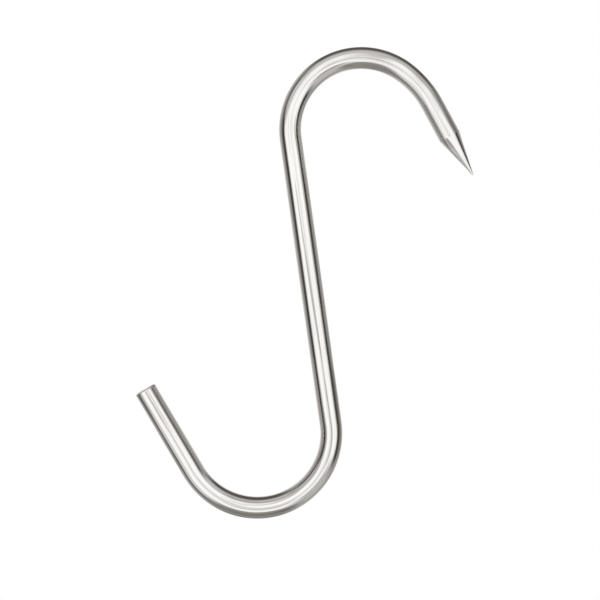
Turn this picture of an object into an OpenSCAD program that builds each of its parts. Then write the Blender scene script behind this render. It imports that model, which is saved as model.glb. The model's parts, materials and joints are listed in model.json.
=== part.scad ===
// Meat hook: one round stainless steel bar, bent to an S and ground to a point at one end.
// It is drawn as it hangs in use, in the XZ plane. The rail bend is at the top and goes over a
// rail. The load bend is below it, and the meat goes on over the point. The origin is on the
// inside of the rail bend, where the rail bears, and the load pulls straight down from there.

/* [Bar] */
// Diameter of the bar
bar_d = 8; // [5:0.5:10]
// Straight length of the shank, from bend to bend
shank_len = 102.5; // [80:0.5:200]

/* [Rail bend] */
// Radius of the rail bend, to the middle of the bar
rail_bend_r = 26.5; // [15:0.5:35]
// Angle that the rail bend turns through
rail_bend_turn = 157.5; // [120:0.5:175]
// Straight length of the plain end, past the rail bend
plain_len = 34; // [10:0.5:50]
// Width of the broken edge round the cut face of the plain end
edge_break = 0.5; // [0.1:0.1:1]

/* [Load bend] */
// Radius of the load bend, to the middle of the bar
load_bend_r = 25.5; // [15:0.5:35]
// Angle that the load bend turns through
load_bend_turn = 134.5; // [110:0.5:150]
// Radius of the slacker bend that follows it and opens the mouth
ease_r = 36; // [25:0.5:60]
// Angle that the slacker bend turns through
ease_turn = 25; // [5:0.5:25]

/* [Point] */
// Straight length at full diameter, between the bend and the point
neck_len = 13; // [2:0.5:30]
// Length of the ground cone, to the tip
point_len = 16; // [10:0.5:30]
// Radius of the rounded tip
tip_r = 0.25; // [0.1:0.05:1]

/* [Hidden] */
$fn = 96;

// Lengths below are in metres, and the whole bar is enlarged to millimetres at the end. One
// stretch then starts exactly where the last one stops, however far round the bar has turned.
MM = 0.001;
bar = bar_d * MM;
tip = tip_r * MM;

// The line of pull runs through the centres of both bends, and leans this much from the shank.
pull_lean = atan2(rail_bend_r + load_bend_r, shank_len);
// Height of the rail bend's centre, below the place where the rail bears
rail_bend_z = bar_d / 2 - rail_bend_r;

// A straight stretch of bar along +Z. Its children carry on from its far end.
module straight(len) {
    cylinder(h = len, d = bar);
    translate([0, 0, len]) children();
}

// A bend of the bar from +Z towards +X. Its children carry on from its far end.
module bend(r, turn) {
    translate([r, 0, 0]) {
        mirror([1, 0, 0]) rotate([90, 0, 0])
            rotate_extrude(angle = turn) translate([r, 0]) circle(d = bar);
        rotate([0, turn, 0]) translate([-r, 0, 0]) children();
    }
}

// The sawn face at the end of the bar, with its edge broken
module cut_end(chamfer) {
    cylinder(h = chamfer, d1 = bar, d2 = bar - 2 * chamfer);
}

// The ground point: a cone that starts at a crisp ring and ends in a small round tip
module point(len) {
    cylinder(h = len - tip, d1 = bar, d2 = 2 * tip);
    translate([0, 0, len - tip]) sphere(tip);
}

// From the top of the shank, over the rail bend to the plain end
module rail_end() {
    bend(rail_bend_r * MM, rail_bend_turn)
        straight((plain_len - edge_break) * MM)
            cut_end(edge_break * MM);
}

// From the top of the shank, down it and round the load bend to the point
module load_end() {
    rotate([0, 180, 0])
        straight(shank_len * MM)
            bend(load_bend_r * MM, load_bend_turn)
                bend(ease_r * MM, ease_turn)
                    straight(neck_len * MM)
                        point(point_len * MM);
}

// The whole hook, which is one piece of bar
module hook_bar() {
    color("silver")
        translate([0, 0, rail_bend_z]) rotate([0, -pull_lean, 0]) translate([-rail_bend_r, 0, 0])
            scale(1 / MM) {
                rail_end();
                load_end();
            }
}

hook_bar();
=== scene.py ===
"""The looks of a meat hook: one stainless bar, bent to an S and ground to a point.

The bar is swept again along the CAD model's course, finely enough for clean reflections, and gets
its three finishes: drawn along the bar, ground round the point and sawn across the plain end.
"""
import json
import math

import bmesh
import bpy
import numpy as np
from mathutils import Matrix, Vector


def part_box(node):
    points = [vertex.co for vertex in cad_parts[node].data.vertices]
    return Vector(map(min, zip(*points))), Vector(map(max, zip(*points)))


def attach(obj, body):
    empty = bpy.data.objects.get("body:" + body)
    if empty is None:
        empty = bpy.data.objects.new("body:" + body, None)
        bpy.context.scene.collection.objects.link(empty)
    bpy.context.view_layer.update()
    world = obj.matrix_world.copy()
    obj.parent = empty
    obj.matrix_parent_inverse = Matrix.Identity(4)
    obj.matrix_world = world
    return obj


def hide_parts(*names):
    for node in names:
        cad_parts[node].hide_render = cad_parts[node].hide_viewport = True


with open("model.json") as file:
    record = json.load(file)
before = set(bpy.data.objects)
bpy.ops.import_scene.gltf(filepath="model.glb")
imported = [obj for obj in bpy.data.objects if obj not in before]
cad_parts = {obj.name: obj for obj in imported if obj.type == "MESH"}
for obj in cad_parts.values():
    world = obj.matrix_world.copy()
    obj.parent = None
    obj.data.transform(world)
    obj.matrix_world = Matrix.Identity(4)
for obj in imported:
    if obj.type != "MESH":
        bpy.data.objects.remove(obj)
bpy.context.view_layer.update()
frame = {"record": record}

MM = 0.001  # metres in a millimetre

# The bar's course, in millimetres and degrees, as in the CAD model. Its diameter and the place
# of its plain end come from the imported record.
RAIL_BEND_R = 26.5
RAIL_BEND_TURN = 157.5
SHANK_LEN = 102.5
LOAD_BEND_R = 25.5
LOAD_BEND_TURN = 134.5
EASE_R = 36.0
EASE_TURN = 25.0
NECK_LEN = 13.0
POINT_LEN = 16.0
TIP_R = 0.25
EDGE_BREAK = 0.5

# How finely the bar is swept, in millimetres unless said otherwise
AROUND = 96          # corners in each ring
BAR_STEP = 0.6       # between rings, along the bar
POINT_STEP = 0.15    # between rings, along the ground point
FACE_STEP = 0.35     # between rings, across the cut face
TIP_STEP = 15        # between rings, round the ball at the tip, in degrees
CUT_EDGE_R = 0.5     # rounding of both corners of the broken edge
POINT_RING_R = 0.5   # rounding of the ring where the grinding starts
ROUNDING_STEPS = 5   # lines in each rounding
UV_LENGTH = 25.0     # length of bar that goes into one unit of the UV map
HAIR = 1e-6          # a length too small to matter

# Small departures from a perfect bar, in millimetres
BEND_FLATTENING = 0.05   # taken off the inside and outside of a bend
BEND_FADE = (-3.0, 8.0)  # how far inside a bend's end the flattening starts and is full
SAW_WAVE = 0.03          # how far the slow waves across the cut face go, each way
RUB_REACH = 13.0         # how far rails and loads rub the bar, each way from a seat
RUB_FULL = 0.3           # the share of that reach over which the rubbing is full
RUB_SIDE = (1.2, 3.4)    # how far to a seat's side of the bar the rubbing starts and is full

# What hand grinding leaves on the point. An angle round the bar starts at its left side, seen from
# the front and towards the tip, and goes round by the back.
GRIND_FACETS = (  # angle of a facet's middle and half its width, in degrees
    (-124, 18), (-14, 12), (96, 17), (172, 14),
)
GRIND_WAVES = (  # relative height, waves round the point, twist along it and start, in radians
    (1.0, 7, 1.1, 0.0), (0.6, 4, -2.3, 1.0),
)
GRIND_DEPTH = 0.03           # of the waves, in millimetres
GRIND_START = (-0.05, 0.30)  # where facets and waves start and are full, as shares of the point
GRIND_END = (0.80, 0.96)     # where they start to fade and have gone
GRIND_OVERLAP = 0.05         # how far the ground finish goes back past its ring, in millimetres
TIP_OFF_AXIS = 0.8           # how far the tip is off the bar's axis, to the outside, in millimetres

# The numbers of the bar's finishes, which are its material slots in order
DRAWN, GROUND, SAWN = range(3)

# The steel's colours, as shares of the colour that the record gives
CLEAN_SHARE = 1.13
DULL_SHARES = (0.62, 0.60, 0.58)

# The camera, in metres and degrees. The hook is upside down in the picture.
CAMERA_DISTANCE = 0.65
FRAME_WIDTH = 0.2145        # what the picture takes in across, at the hook
PULL_LEAN = 18.9            # how far the line of pull leans in the picture
AIM = (0.0010, 0, -0.0726)  # the middle of the picture, from the place where the rail bears
SENSOR_WIDTH = 36.0         # in millimetres

# The stage, in metres
FLOOR_GAP = 0.085    # from the floor up to the hanging hook
FLOOR_RADIUS = 0.22
FLOOR_FADE = 0.06    # where the floor starts to fade into the white room
FLOOR_CORNERS = 96
FLOOR_COLOUR = (0.64, 0.64, 0.63, 1)
TENT_RADIUS = 2.0
LAMP_SIZE = 0.22
LAMP_PLACE = (-0.14, -0.22, 0.85)
LAMP_POWER = 6.0     # in watts

# The light tent, as the bar sees it. An angle is measured from the camera's side, in degrees, and
# a direction clockwise from the picture's top. The brightness of the white room is 1. Where panels
# overlap, a later one lies over an earlier one.
TENT_BANDS = (  # angle, brightness
    (0, 0.56), (2, 0.62), (5, 0.98), (14, 1.08), (21, 1.26), (46, 1.24), (57, 0.62), (65, 0.12),
    (72, 0.06), (86, 0.07), (97, 0.28), (112, 0.42), (131, 0.60), (150, 0.80), (166, 1.05),
)
TENT_PANELS = (  # direction, half its width, first and last angle, brightness
    (328, 36, 4, 20, 1.30),
    (82, 10, 4, 20, 1.25),
    (10, 46, 49, 87, 0.69),
    (10, 40, 97, 140, 0.11),
    (92, 14, 48, 64, 1.05),
    (137, 18, 30, 100, 0.62),
    (185, 24, 12, 20, 0.84),
    (185, 24, 44, 150, 0.33),
    (230, 16, 50, 79, 0.80),
    (270, 18, 50, 59, 1.05),
    (309, 16, 39, 77, 0.70),
)
PANEL_BLUR = 8  # how far a panel's sides blur each way, in degrees. Its ends blur half as far.
TENT_WARMTH = (1, 0.93, 0.88, 1)  # tint of the tent where it is dim
WARMTH_FADE = (0.1, 0.9)          # brightness at which the tint starts to fade, and has gone


# ---- The bar's course and outline ----------------------------------------------------------


def course_of(plain_len):
    """The bar's stretches from the cut face to the tip, as (length, curvature) in millimetres.
    A positive curvature turns to the left, seen from the front."""
    def bend(radius, turn):
        return radius * math.radians(abs(turn)), math.copysign(1 / radius, turn)

    return [
        (plain_len, 0.0),
        bend(RAIL_BEND_R, RAIL_BEND_TURN),
        (SHANK_LEN, 0.0),
        bend(LOAD_BEND_R, -LOAD_BEND_TURN),
        bend(EASE_R, -EASE_TURN),
        (NECK_LEN + POINT_LEN, 0.0),
    ]


def run_along(run, heading, curve):
    """How far (x, z) a run along a stretch goes from where the stretch starts."""
    if curve == 0:
        return np.outer(run, [math.cos(heading), math.sin(heading)])
    end = heading + curve * run
    return np.column_stack([np.sin(end) - math.sin(heading), math.cos(heading) - np.cos(end)]) / curve


def follow(course, start, heading, distance):
    """The middle of the bar (x, z) and its heading at each distance along it."""
    middle = np.zeros((len(distance), 2))
    turned = np.full(len(distance), heading)
    place = np.array(start)
    begun = 0.0
    for length, curve in course:
        here = distance >= begun - HAIR
        run = np.minimum(distance[here] - begun, length)
        middle[here] = place + run_along(run, heading, curve)
        turned[here] = heading + curve * run
        place = place + run_along(np.array([length]), heading, curve)[0]
        heading += curve * length
        begun += length
    return middle, turned


def seats_of(course, heading):
    """The places where the bar lies level in a bend, so that a rail or a load bears there. Each is
    (distance along the bar, 1 if the bar's left side bears or -1 if its right side does)."""
    seats = []
    begun = 0.0
    for length, curve in course:
        level = (math.pi - heading) / curve if curve else -1.0
        if 0 < level < length:
            seats.append((begun + level, math.copysign(1.0, curve)))
        heading += curve * length
        begun += length
    return seats


def rounded(corners, radii):
    """The outline through these (distance, radius) corners, each rounded to its radius."""
    points = [np.array(corners[0], float)]
    for before, corner, after, radius in zip(corners, corners[1:], corners[2:], radii):
        before, corner, after = (np.array(p, float) for p in (before, corner, after))
        inward = (before - corner) / np.linalg.norm(before - corner)
        onward = (after - corner) / np.linalg.norm(after - corner)
        half_angle = math.acos(np.clip(inward @ onward, -1, 1)) / 2
        reach = radius / math.tan(half_angle)
        for i in range(ROUNDING_STEPS + 1):
            share = i / ROUNDING_STEPS
            # A quadratic curve from one tangent point to the other is close to an arc here.
            points.append(
                (1 - share) ** 2 * (corner + inward * reach)
                + 2 * share * (1 - share) * corner
                + share ** 2 * (corner + onward * reach)
            )
    points.append(np.array(corners[-1], float))
    return points


def filled_in(points, step_at):
    """The same outline with points added, so that none is further on than step_at allows."""
    dense = [points[0]]
    for here, there in zip(points, points[1:]):
        gap = np.linalg.norm(there - here)
        count = max(1, math.ceil(gap / step_at((here + there) / 2)))
        dense += [here + (there - here) * (i + 1) / count for i in range(count)]
    return np.array(dense)


def outline_of(bar_r, total):
    """Each ring's (distance along the bar, radius), from the middle of the cut face to the tip."""
    ring_at = total - POINT_LEN
    corners = [
        (0.0, 0.0),
        (0.0, bar_r - EDGE_BREAK),
        (EDGE_BREAK, bar_r),
        (ring_at, bar_r),
        (total - TIP_R, TIP_R),
    ]
    outline = rounded(corners, [CUT_EDGE_R, CUT_EDGE_R, POINT_RING_R])

    def step_at(place):
        if place[0] == 0:
            return FACE_STEP
        return POINT_STEP if place[0] > ring_at else BAR_STEP

    swing = [math.radians(a) for a in range(TIP_STEP, 91, TIP_STEP)]
    tip = [(total - TIP_R + TIP_R * math.sin(a), TIP_R * math.cos(a)) for a in swing]
    return np.vstack([filled_in(outline, step_at), tip])


# ---- The bar's mesh --------------------------------------------------------------------------


def smooth_step(low, high, value):
    """0 below low, 1 above high and a smooth rise between."""
    share = np.clip((value - low) / (high - low), 0, 1)
    return share * share * (3 - 2 * share)


def bent_share(course, distance):
    """How fully the bar is flattened at each distance, from 0 on the straights to 1 in a bend."""
    bent = np.zeros(distance.shape)
    begun = 0.0
    for length, curve in course:
        if curve:
            inside = np.minimum(distance - begun, begun + length - distance)
            bent = np.maximum(bent, smooth_step(*BEND_FADE, inside))
        begun += length
    return bent


def hand_ground(radius, distance, angle, ring_at):
    """The point's radius after hand grinding, which leaves facets and waves on it."""
    along = (distance - ring_at) / POINT_LEN
    share = np.ones(np.broadcast(along, angle).shape)
    for degrees, half_degrees in GRIND_FACETS:
        off = np.angle(np.exp(1j * (angle - math.radians(degrees))))
        half = math.radians(half_degrees)
        share = np.minimum(share, math.cos(half) / np.cos(np.clip(off, -half, half)))
    height = sum(
        part * np.cos(count * angle + twist * along + start) for part, count, twist, start in GRIND_WAVES
    )
    highest = sum(part for part, *_ in GRIND_WAVES)
    strength = smooth_step(*GRIND_START, along) * (1 - smooth_step(*GRIND_END, along))
    waves = GRIND_DEPTH * (1 + height / highest) / 2
    return radius * (1 - strength * (1 - share)) - strength * waves


def rub_share(seats, distance, across):
    """How much rails and loads have rubbed each place, from 0 to 1."""
    rubbed = np.zeros(across.shape)
    for seat, side in seats:
        near = 1 - smooth_step(RUB_FULL, 1.0, np.abs(distance - seat) / RUB_REACH)
        rubbed = np.maximum(rubbed, near * smooth_step(*RUB_SIDE, across * side))
    return rubbed


def saw_waves(distance, across, sideways):
    """How far the saw's slow waves move the cut face along the bar, in millimetres."""
    wave = np.sin(1.7 * across + 0.4 * np.sin(1.3 * sideways))
    return SAW_WAVE * wave * (distance < HAIR)


def bar_mesh():
    """The whole bar as one closed mesh in metres. It has a UV map and two attributes: how rubbed
    each corner is, and its place in bar space, which is across, sideways and along the bar in
    millimetres."""
    pin = next(m for m in frame["record"]["mounts"] if m["name"] == "plain_end")
    bar_r = pin["dims"]["r_mm"]
    outwards = Vector(pin["axis"])
    # The mount is the plain end's length at full diameter, so the cut face lies an edge break beyond.
    face = Vector(pin["pos_m"]) / MM + outwards * (pin["dims"]["length_mm"] / 2 + EDGE_BREAK)
    course = course_of(pin["dims"]["length_mm"] + EDGE_BREAK)
    total = sum(length for length, _ in course)
    ring_at = total - POINT_LEN
    outline = outline_of(bar_r, total)
    heading = math.atan2(-outwards.z, -outwards.x)
    middle, turned = follow(course, (face.x, face.z), heading, outline[:, 0])

    # One row for each ring and one column for each corner round it
    distance, radius, turned = outline[:, :1], outline[:, 1:], turned[:, None]
    angle = 2 * math.pi * np.arange(AROUND)[None, :] / AROUND
    radius = np.where(distance > ring_at, hand_ground(radius, distance, angle, ring_at), radius)
    bent = bent_share(course, distance) * BEND_FLATTENING / bar_r
    across = radius * np.cos(angle) * (1 - bent)
    sideways = radius * np.sin(angle) * (1 + bent / 3)
    off_axis = TIP_OFF_AXIS * np.clip((distance - ring_at) / POINT_LEN, 0, 1)
    wave = saw_waves(distance, across, sideways)
    along_x, along_z = np.cos(turned), np.sin(turned)
    x = middle[:, :1] - along_z * (across + off_axis) + along_x * wave
    z = middle[:, 1:] + along_x * (across + off_axis) + along_z * wave
    points = np.stack([x, sideways, z], -1) * MM
    rubbed = rub_share(seats_of(course, heading), distance, across)
    # On the point, bar space stays as wide as the bar, so that what runs lengthwise meets at the tip.
    span = np.where(distance > ring_at, bar_r, radius)
    space = np.stack(np.broadcast_arrays(span * np.cos(angle), span * np.sin(angle), distance), -1)

    mesh = bpy.data.meshes.new("hook_bar_swept")
    fill_mesh(mesh, points, space, rubbed)
    assign_finishes(mesh, ring_at)
    return mesh


def fill_mesh(mesh, points, space, rubbed):
    """Fills the mesh with rings of quads, closed at the middle of the cut face and at the tip."""
    last = len(points) - 1
    shell = bmesh.new()
    bar_space = shell.verts.layers.float_vector.new("bar_space")
    rub = shell.verts.layers.float.new("rubbed")
    uv = shell.loops.layers.uv.new("along_bar")

    rows = []
    for i in range(last + 1):
        row = []
        for j in range(1 if i in (0, last) else AROUND):
            corner = shell.verts.new(points[i, j])
            corner[bar_space] = space[i, j]
            corner[rub] = rubbed[i, j]
            row.append(corner)
        rows.append(row)

    for i in range(last):
        for j in range(AROUND):
            # The first and last rows are single corners, so a face that meets one is a triangle.
            corners = [(i, j), (i + 1, j), (i + 1, j + 1), (i, j + 1)]
            if i == 0:
                corners.pop(3)
            elif i + 1 == last:
                corners.pop(2)
            made = shell.faces.new([rows[a][b % len(rows[a])] for a, b in corners])
            made.smooth = True
            for loop, (a, b) in zip(made.loops, corners):
                loop[uv].uv = (b / AROUND, space[a, 0, 2] / UV_LENGTH)
    bmesh.ops.recalc_face_normals(shell, faces=shell.faces)
    shell.to_mesh(mesh)
    shell.free()


def assign_finishes(mesh, ring_at):
    """Gives each face its finish, by how far along the bar its corners are."""
    finish = []
    for face in mesh.polygons:
        places = [mesh.attributes["bar_space"].data[v].vector[2] for v in face.vertices]
        if min(places) >= ring_at - GRIND_OVERLAP:
            finish.append(GROUND)
        elif max(places) <= EDGE_BREAK:
            finish.append(SAWN)
        else:
            finish.append(DRAWN)
    mesh.polygons.foreach_set("material_index", finish)


# ---- Shader helpers --------------------------------------------------------------------------


def add(tree, kind, inputs=None, **settings):
    """Adds a node. A value in inputs is a number, a vector, a colour or the output that feeds it."""
    made = tree.nodes.new(kind)
    for name, value in settings.items():
        setattr(made, name, value)
    for name, value in (inputs or {}).items():
        if isinstance(value, bpy.types.NodeSocket):
            tree.links.new(value, made.inputs[name])
        else:
            made.inputs[name].default_value = value
    return made


def maths(tree, operation, *values):
    """One step of arithmetic on outputs and numbers."""
    return add(tree, "ShaderNodeMath", dict(enumerate(values)), operation=operation).outputs[0]


def ranged(tree, value, low, high, to_low, to_high):
    """The value moved from low..high to to_low..to_high and held within it."""
    return add(tree, "ShaderNodeMapRange", {
        "Value": value, "From Min": low, "From Max": high, "To Min": to_low, "To Max": to_high,
    }).outputs["Result"]


def blended(tree, share, first, second):
    """The colour that goes from the first to the second as share goes from 0 to 1."""
    # The Mix node keeps inputs for each kind of data. Its colours are inputs 6 and 7 and output 2.
    mixed = add(tree, "ShaderNodeMix", {0: share, 6: first, 7: second}, data_type="RGBA")
    return mixed.outputs[2]


def dotted(tree, vector, axis):
    """How far a vector goes along an axis."""
    dot = add(tree, "ShaderNodeVectorMath", {0: vector, 1: axis}, operation="DOT_PRODUCT")
    return dot.outputs["Value"]


def attribute(tree, name):
    """The node that reads one of the mesh's attributes."""
    return add(tree, "ShaderNodeAttribute", attribute_name=name)


def grain(tree, sizes, detail=2.0, rough=0.5):
    """Noise, from 0 to 1, whose grains have these sizes in bar space: across, sideways and along
    the bar, in millimetres."""
    scaled = add(tree, "ShaderNodeMapping", {
        "Vector": attribute(tree, "bar_space").outputs["Vector"],
        "Scale": [1 / size for size in sizes],
    })
    return add(tree, "ShaderNodeTexNoise", {
        "Vector": scaled.outputs["Vector"], "Scale": 1.0, "Detail": detail, "Roughness": rough,
    }).outputs["Fac"]


def thin_lines(tree, sizes, width):
    """1 along thin lines that wander as grain of these sizes does, and 0 between them. The lines
    are where the grain is within width of its middle value."""
    off_line = maths(tree, "ABSOLUTE", maths(tree, "SUBTRACT", grain(tree, sizes, detail=1.0), 0.5))
    solid = 0.3 * width
    return ranged(tree, off_line, solid, width, 1.0, 0.0)


def scattered_marks(tree, sizes, rarity):
    """1 on scattered marks of these sizes in bar space, and 0 between them. The marks are dense
    at a rarity of 0.5 and gone at 1."""
    softness = 0.06
    return ranged(tree, grain(tree, sizes, detail=1.0), rarity, rarity + softness, 0.0, 1.0)


# ---- The steel -------------------------------------------------------------------------------


def start_steel(name):
    """Starts a stainless steel material and returns it with its tree and shader."""
    material = bpy.data.materials.new(name)
    material.use_nodes = True
    tree = material.node_tree
    shader = tree.nodes["Principled BSDF"]
    shader.inputs["Metallic"].default_value = 1.0
    return material, tree, shader


def set_finish(tree, shader, dullness, roughness, marks):
    """Sets the steel's colour and roughness. A dullness of 0 is clean, and 1 is dull and a little
    warmer. Each of marks is an output from 0 to 1, with what it adds to dullness and to roughness."""
    for mark, dulling, roughening in marks:
        dullness = maths(tree, "MULTIPLY_ADD", mark, dulling, dullness)
        roughness = maths(tree, "MULTIPLY_ADD", mark, roughening, roughness)
    steel = frame["record"]["materials"][0]["base_color"]
    clean = [min(1.0, part * CLEAN_SHARE) for part in steel] + [1.0]
    dull = [part * share for part, share in zip(steel, DULL_SHARES)] + [1.0]
    tree.links.new(blended(tree, dullness, clean, dull), shader.inputs["Base Color"])
    tree.links.new(roughness, shader.inputs["Roughness"])


def set_relief(tree, shader, reliefs):
    """Adds up bumps: each of reliefs is (height output from 0 to 1, height in millimetres)."""
    normal = None
    for height, depth in reliefs:
        bump = add(tree, "ShaderNodeBump", {"Height": height, "Strength": 1.0, "Distance": depth * MM})
        if normal is not None:
            tree.links.new(normal, bump.inputs["Normal"])
        normal = bump.outputs["Normal"]
    tree.links.new(normal, shader.inputs["Normal"])


def drawn_steel():
    """The bar's own finish: polished lengthwise over the die's lines, and rubbed at its seats."""
    material, tree, shader = start_steel("drawn_stainless")
    waves = grain(tree, (1.6, 1.6, 120.0))
    streaks = grain(tree, (0.4, 0.4, 45.0), detail=3.0, rough=0.6)
    patches = grain(tree, (7.0, 7.0, 9.0))
    die_lines = maths(
        tree, "MULTIPLY",
        thin_lines(tree, (2.0, 2.0, 240.0), 0.060),
        ranged(tree, grain(tree, (9.0, 9.0, 30.0)), 0.40, 0.55, 0.0, 1.0),
    )
    scratches = maths(
        tree, "MULTIPLY",
        scattered_marks(tree, (0.2, 0.2, 9.0), 0.68),
        ranged(tree, patches, 0.45, 0.60, 0.1, 1.0),
    )
    rub_marks = maths(
        tree, "MULTIPLY",
        attribute(tree, "rubbed").outputs["Fac"],
        ranged(tree, grain(tree, (5.0, 5.0, 0.25), detail=3.0), 0.40, 0.62, 0.2, 1.0),
    )
    dullness = ranged(tree, streaks, 0.35, 0.70, 0.22, 0.0)
    roughness = maths(
        tree, "ADD",
        ranged(tree, streaks, 0.3, 0.7, 0.07, 0.14),
        ranged(tree, patches, 0.4, 0.65, -0.01, 0.04),
    )
    set_finish(tree, shader, dullness, roughness, [
        (die_lines, 0.95, 0.0), (scratches, 0.35, 0.12), (rub_marks, 0.35, 0.16),
    ])
    set_relief(tree, shader, [
        (waves, 0.010), (streaks, 0.0012), (die_lines, -0.004), (scratches, -0.003), (rub_marks, -0.002),
    ])
    return material


def ground_steel():
    """The point's finish: fine rings from a grinding belt, buffed."""
    material, tree, shader = start_steel("ground_stainless")
    rings = grain(tree, (9.0, 9.0, 0.35), detail=3.0, rough=0.6)
    streaks = grain(tree, (0.6, 0.6, 9.0))
    scratches = scattered_marks(tree, (0.4, 0.4, 5.0), 0.62)
    dullness = ranged(tree, rings, 0.35, 0.70, 0.18, 0.0)
    roughness = ranged(tree, rings, 0.3, 0.7, 0.11, 0.18)
    set_finish(tree, shader, dullness, roughness, [(scratches, 0.6, 0.0)])
    set_relief(tree, shader, [(rings, 0.0004), (streaks, 0.003), (scratches, -0.002)])
    return material


def sawn_steel():
    """The cut face's finish: the saw's straight marks, and a bright, matt edge from deburring."""
    material, tree, shader = start_steel("sawn_stainless")
    saw_marks = grain(tree, (0.3, 8.0, 1.0), detail=3.0, rough=0.6)
    place = add(tree, "ShaderNodeSeparateXYZ", {0: attribute(tree, "bar_space").outputs["Vector"]})
    # The face itself is at 0 along the bar, so what is further along is the deburred edge.
    edge = ranged(tree, place.outputs["Z"], 0.0, 0.2, 0.0, 1.0)
    dullness = ranged(tree, saw_marks, 0.35, 0.65, 0.5, 0.1)
    roughness = ranged(tree, saw_marks, 0.3, 0.7, 0.28, 0.42)
    set_finish(tree, shader, dullness, roughness, [(edge, -0.5, 0.28)])
    set_relief(tree, shader, [(saw_marks, 0.012)])
    return material


def build_hook():
    """The swept bar with its three finishes, in the place of the CAD bar."""
    mesh = bar_mesh()
    for finish in (drawn_steel, ground_steel, sawn_steel):  # as DRAWN, GROUND and SAWN number them
        mesh.materials.append(finish())
    hook = bpy.data.objects.new("stainless_hook", mesh)
    bpy.context.collection.objects.link(hook)
    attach(hook, "root")
    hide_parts("hook_bar")


# ---- The stage -------------------------------------------------------------------------------


def picture_axes():
    """The picture's right and top, and the way the camera looks."""
    lean = math.radians(PULL_LEAN)
    top = Vector((math.sin(lean), 0, -math.cos(lean)))
    look = Vector((0, 1, 0))
    return look.cross(top), top, look


def place_camera():
    """Looks straight at the hook's front."""
    right, top, look = picture_axes()
    lens = bpy.data.cameras.new("camera")
    lens.sensor_width = SENSOR_WIDTH
    lens.lens = SENSOR_WIDTH * CAMERA_DISTANCE / FRAME_WIDTH
    camera = bpy.data.objects.new("camera", lens)
    turn = Matrix((right, top, -look)).transposed().to_4x4()
    camera.matrix_world = Matrix.Translation(Vector(AIM) - look * CAMERA_DISTANCE) @ turn
    bpy.context.collection.objects.link(camera)
    bpy.context.scene.camera = camera


def light_world():
    """An even white room, which lights the floor and is the white behind the hook."""
    world = bpy.data.worlds.new("white_room")
    world.use_nodes = True
    world.node_tree.nodes["Background"].inputs["Color"].default_value = (1, 1, 1, 1)
    bpy.context.scene.world = world
    bpy.context.scene.view_settings.view_transform = "Standard"


def stage_object(name, shell):
    """Makes a stage object of a bmesh and returns it."""
    mesh = bpy.data.meshes.new(name)
    shell.to_mesh(mesh)
    shell.free()
    made = bpy.data.objects.new(name, mesh)
    bpy.context.collection.objects.link(made)
    return made


def tent_brightness(tree):
    """The tent's brightness by direction, from its bands and its panels."""
    right, top, look = picture_axes()
    place = add(tree, "ShaderNodeNewGeometry").outputs["Position"]
    way = add(tree, "ShaderNodeVectorMath", {0: place}, operation="NORMALIZE").outputs[0]
    angle = maths(tree, "DEGREES", maths(tree, "ARCCOSINE", dotted(tree, way, -look)))
    # The way without its depth, which is its direction in the picture
    flat = add(tree, "ShaderNodeVectorMath", {0: way, 1: (1, 0, 1)}, operation="MULTIPLY").outputs[0]
    flat = add(tree, "ShaderNodeVectorMath", {0: flat}, operation="NORMALIZE").outputs[0]

    # The bands go into a ramp as shares of the brightest.
    brightest = max(bright for _, bright in TENT_BANDS)
    ramp = add(tree, "ShaderNodeValToRGB", {"Fac": maths(tree, "DIVIDE", angle, 180)})
    elements = ramp.color_ramp.elements
    while len(elements) < len(TENT_BANDS):
        elements.new(1.0)
    for element, (degrees, bright) in zip(elements, TENT_BANDS):
        element.position = degrees / 180
        element.color = [bright / brightest] * 3 + [1.0]
    brightness = maths(tree, "MULTIPLY", ramp.outputs["Color"], brightest)

    for direction, half_width, first, last, bright in TENT_PANELS:
        toward = top * math.cos(math.radians(direction)) + right * math.sin(math.radians(direction))
        edges = [math.cos(math.radians(half_width + blur)) for blur in (PANEL_BLUR, -PANEL_BLUR)]
        share = maths(
            tree, "MULTIPLY",
            ranged(tree, dotted(tree, flat, toward), *edges, 0.0, 1.0),
            maths(
                tree, "MULTIPLY",
                ranged(tree, angle, first - PANEL_BLUR / 2, first + PANEL_BLUR / 2, 0.0, 1.0),
                ranged(tree, angle, last - PANEL_BLUR / 2, last + PANEL_BLUR / 2, 1.0, 0.0),
            ),
        )
        change = maths(tree, "SUBTRACT", bright, brightness)
        brightness = maths(tree, "MULTIPLY_ADD", change, share, brightness)
    return brightness


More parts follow.
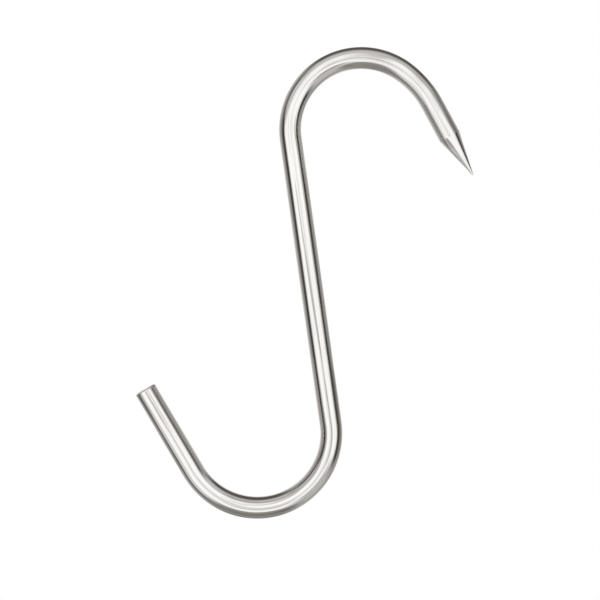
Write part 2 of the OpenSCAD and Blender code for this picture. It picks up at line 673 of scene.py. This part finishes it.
def build_tent():
    """A photographer's light tent. Only reflections see it, as the bar is all that reflects."""
    shell = bmesh.new()
    bmesh.ops.create_icosphere(shell, subdivisions=4, radius=TENT_RADIUS)
    tent = stage_object("light_tent", shell)
    tent.visible_camera = False
    tent.visible_diffuse = False
    tent.visible_transmission = False
    tent.visible_volume_scatter = False
    tent.visible_shadow = False

    material = bpy.data.materials.new("tent_light")
    material.use_nodes = True
    material.cycles.emission_sampling = "NONE"
    tree = material.node_tree
    tree.nodes.clear()
    brightness = tent_brightness(tree)
    whiteness = ranged(tree, brightness, *WARMTH_FADE, 0.0, 1.0)
    colour = blended(tree, whiteness, TENT_WARMTH, (1, 1, 1, 1))
    light = add(tree, "ShaderNodeEmission", {"Color": colour, "Strength": brightness})
    out = add(tree, "ShaderNodeOutputMaterial")
    tree.links.new(light.outputs[0], out.inputs["Surface"])
    tent.data.materials.append(material)


def build_floor():
    """A pale floor under the hook, which fades into the white room."""
    low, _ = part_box("hook_bar")
    shell = bmesh.new()
    bmesh.ops.create_circle(shell, cap_ends=True, segments=FLOOR_CORNERS, radius=FLOOR_RADIUS)
    floor = stage_object("floor", shell)
    floor.location = (0, 0, low.z - FLOOR_GAP)
    floor.visible_glossy = False

    material = bpy.data.materials.new("pale_floor")
    material.use_nodes = True
    tree = material.node_tree
    shader = tree.nodes["Principled BSDF"]
    shader.inputs["Base Color"].default_value = FLOOR_COLOUR
    shader.inputs["Roughness"].default_value = 1.0
    shader.inputs["Specular IOR Level"].default_value = 0.0
    place = add(tree, "ShaderNodeTexCoord").outputs["Object"]
    reach = add(tree, "ShaderNodeVectorMath", {0: place}, operation="LENGTH").outputs["Value"]
    clear = add(tree, "ShaderNodeBsdfTransparent").outputs[0]
    mixed = add(tree, "ShaderNodeMixShader", {
        0: ranged(tree, reach, FLOOR_FADE, FLOOR_RADIUS, 0.0, 1.0), 1: shader.outputs[0], 2: clear,
    })
    tree.links.new(mixed.outputs[0], tree.nodes["Material Output"].inputs["Surface"])
    floor.data.materials.append(material)


def hang_lamp():
    """A soft lamp above and in front of the hook, for its shadow on the floor."""
    light = bpy.data.lights.new("soft_lamp", "AREA")
    light.shape = "DISK"
    light.size = LAMP_SIZE
    light.energy = LAMP_POWER
    lamp = bpy.data.objects.new("soft_lamp", light)
    place = Vector(LAMP_PLACE)
    lamp.matrix_world = Matrix.Translation(place) @ place.to_track_quat("Z", "Y").to_matrix().to_4x4()
    lamp.visible_camera = False
    lamp.visible_glossy = False
    bpy.context.collection.objects.link(lamp)


# ---- The scene -------------------------------------------------------------------------------

place_camera()
light_world()
build_tent()
build_floor()
hang_lamp()
build_hook()
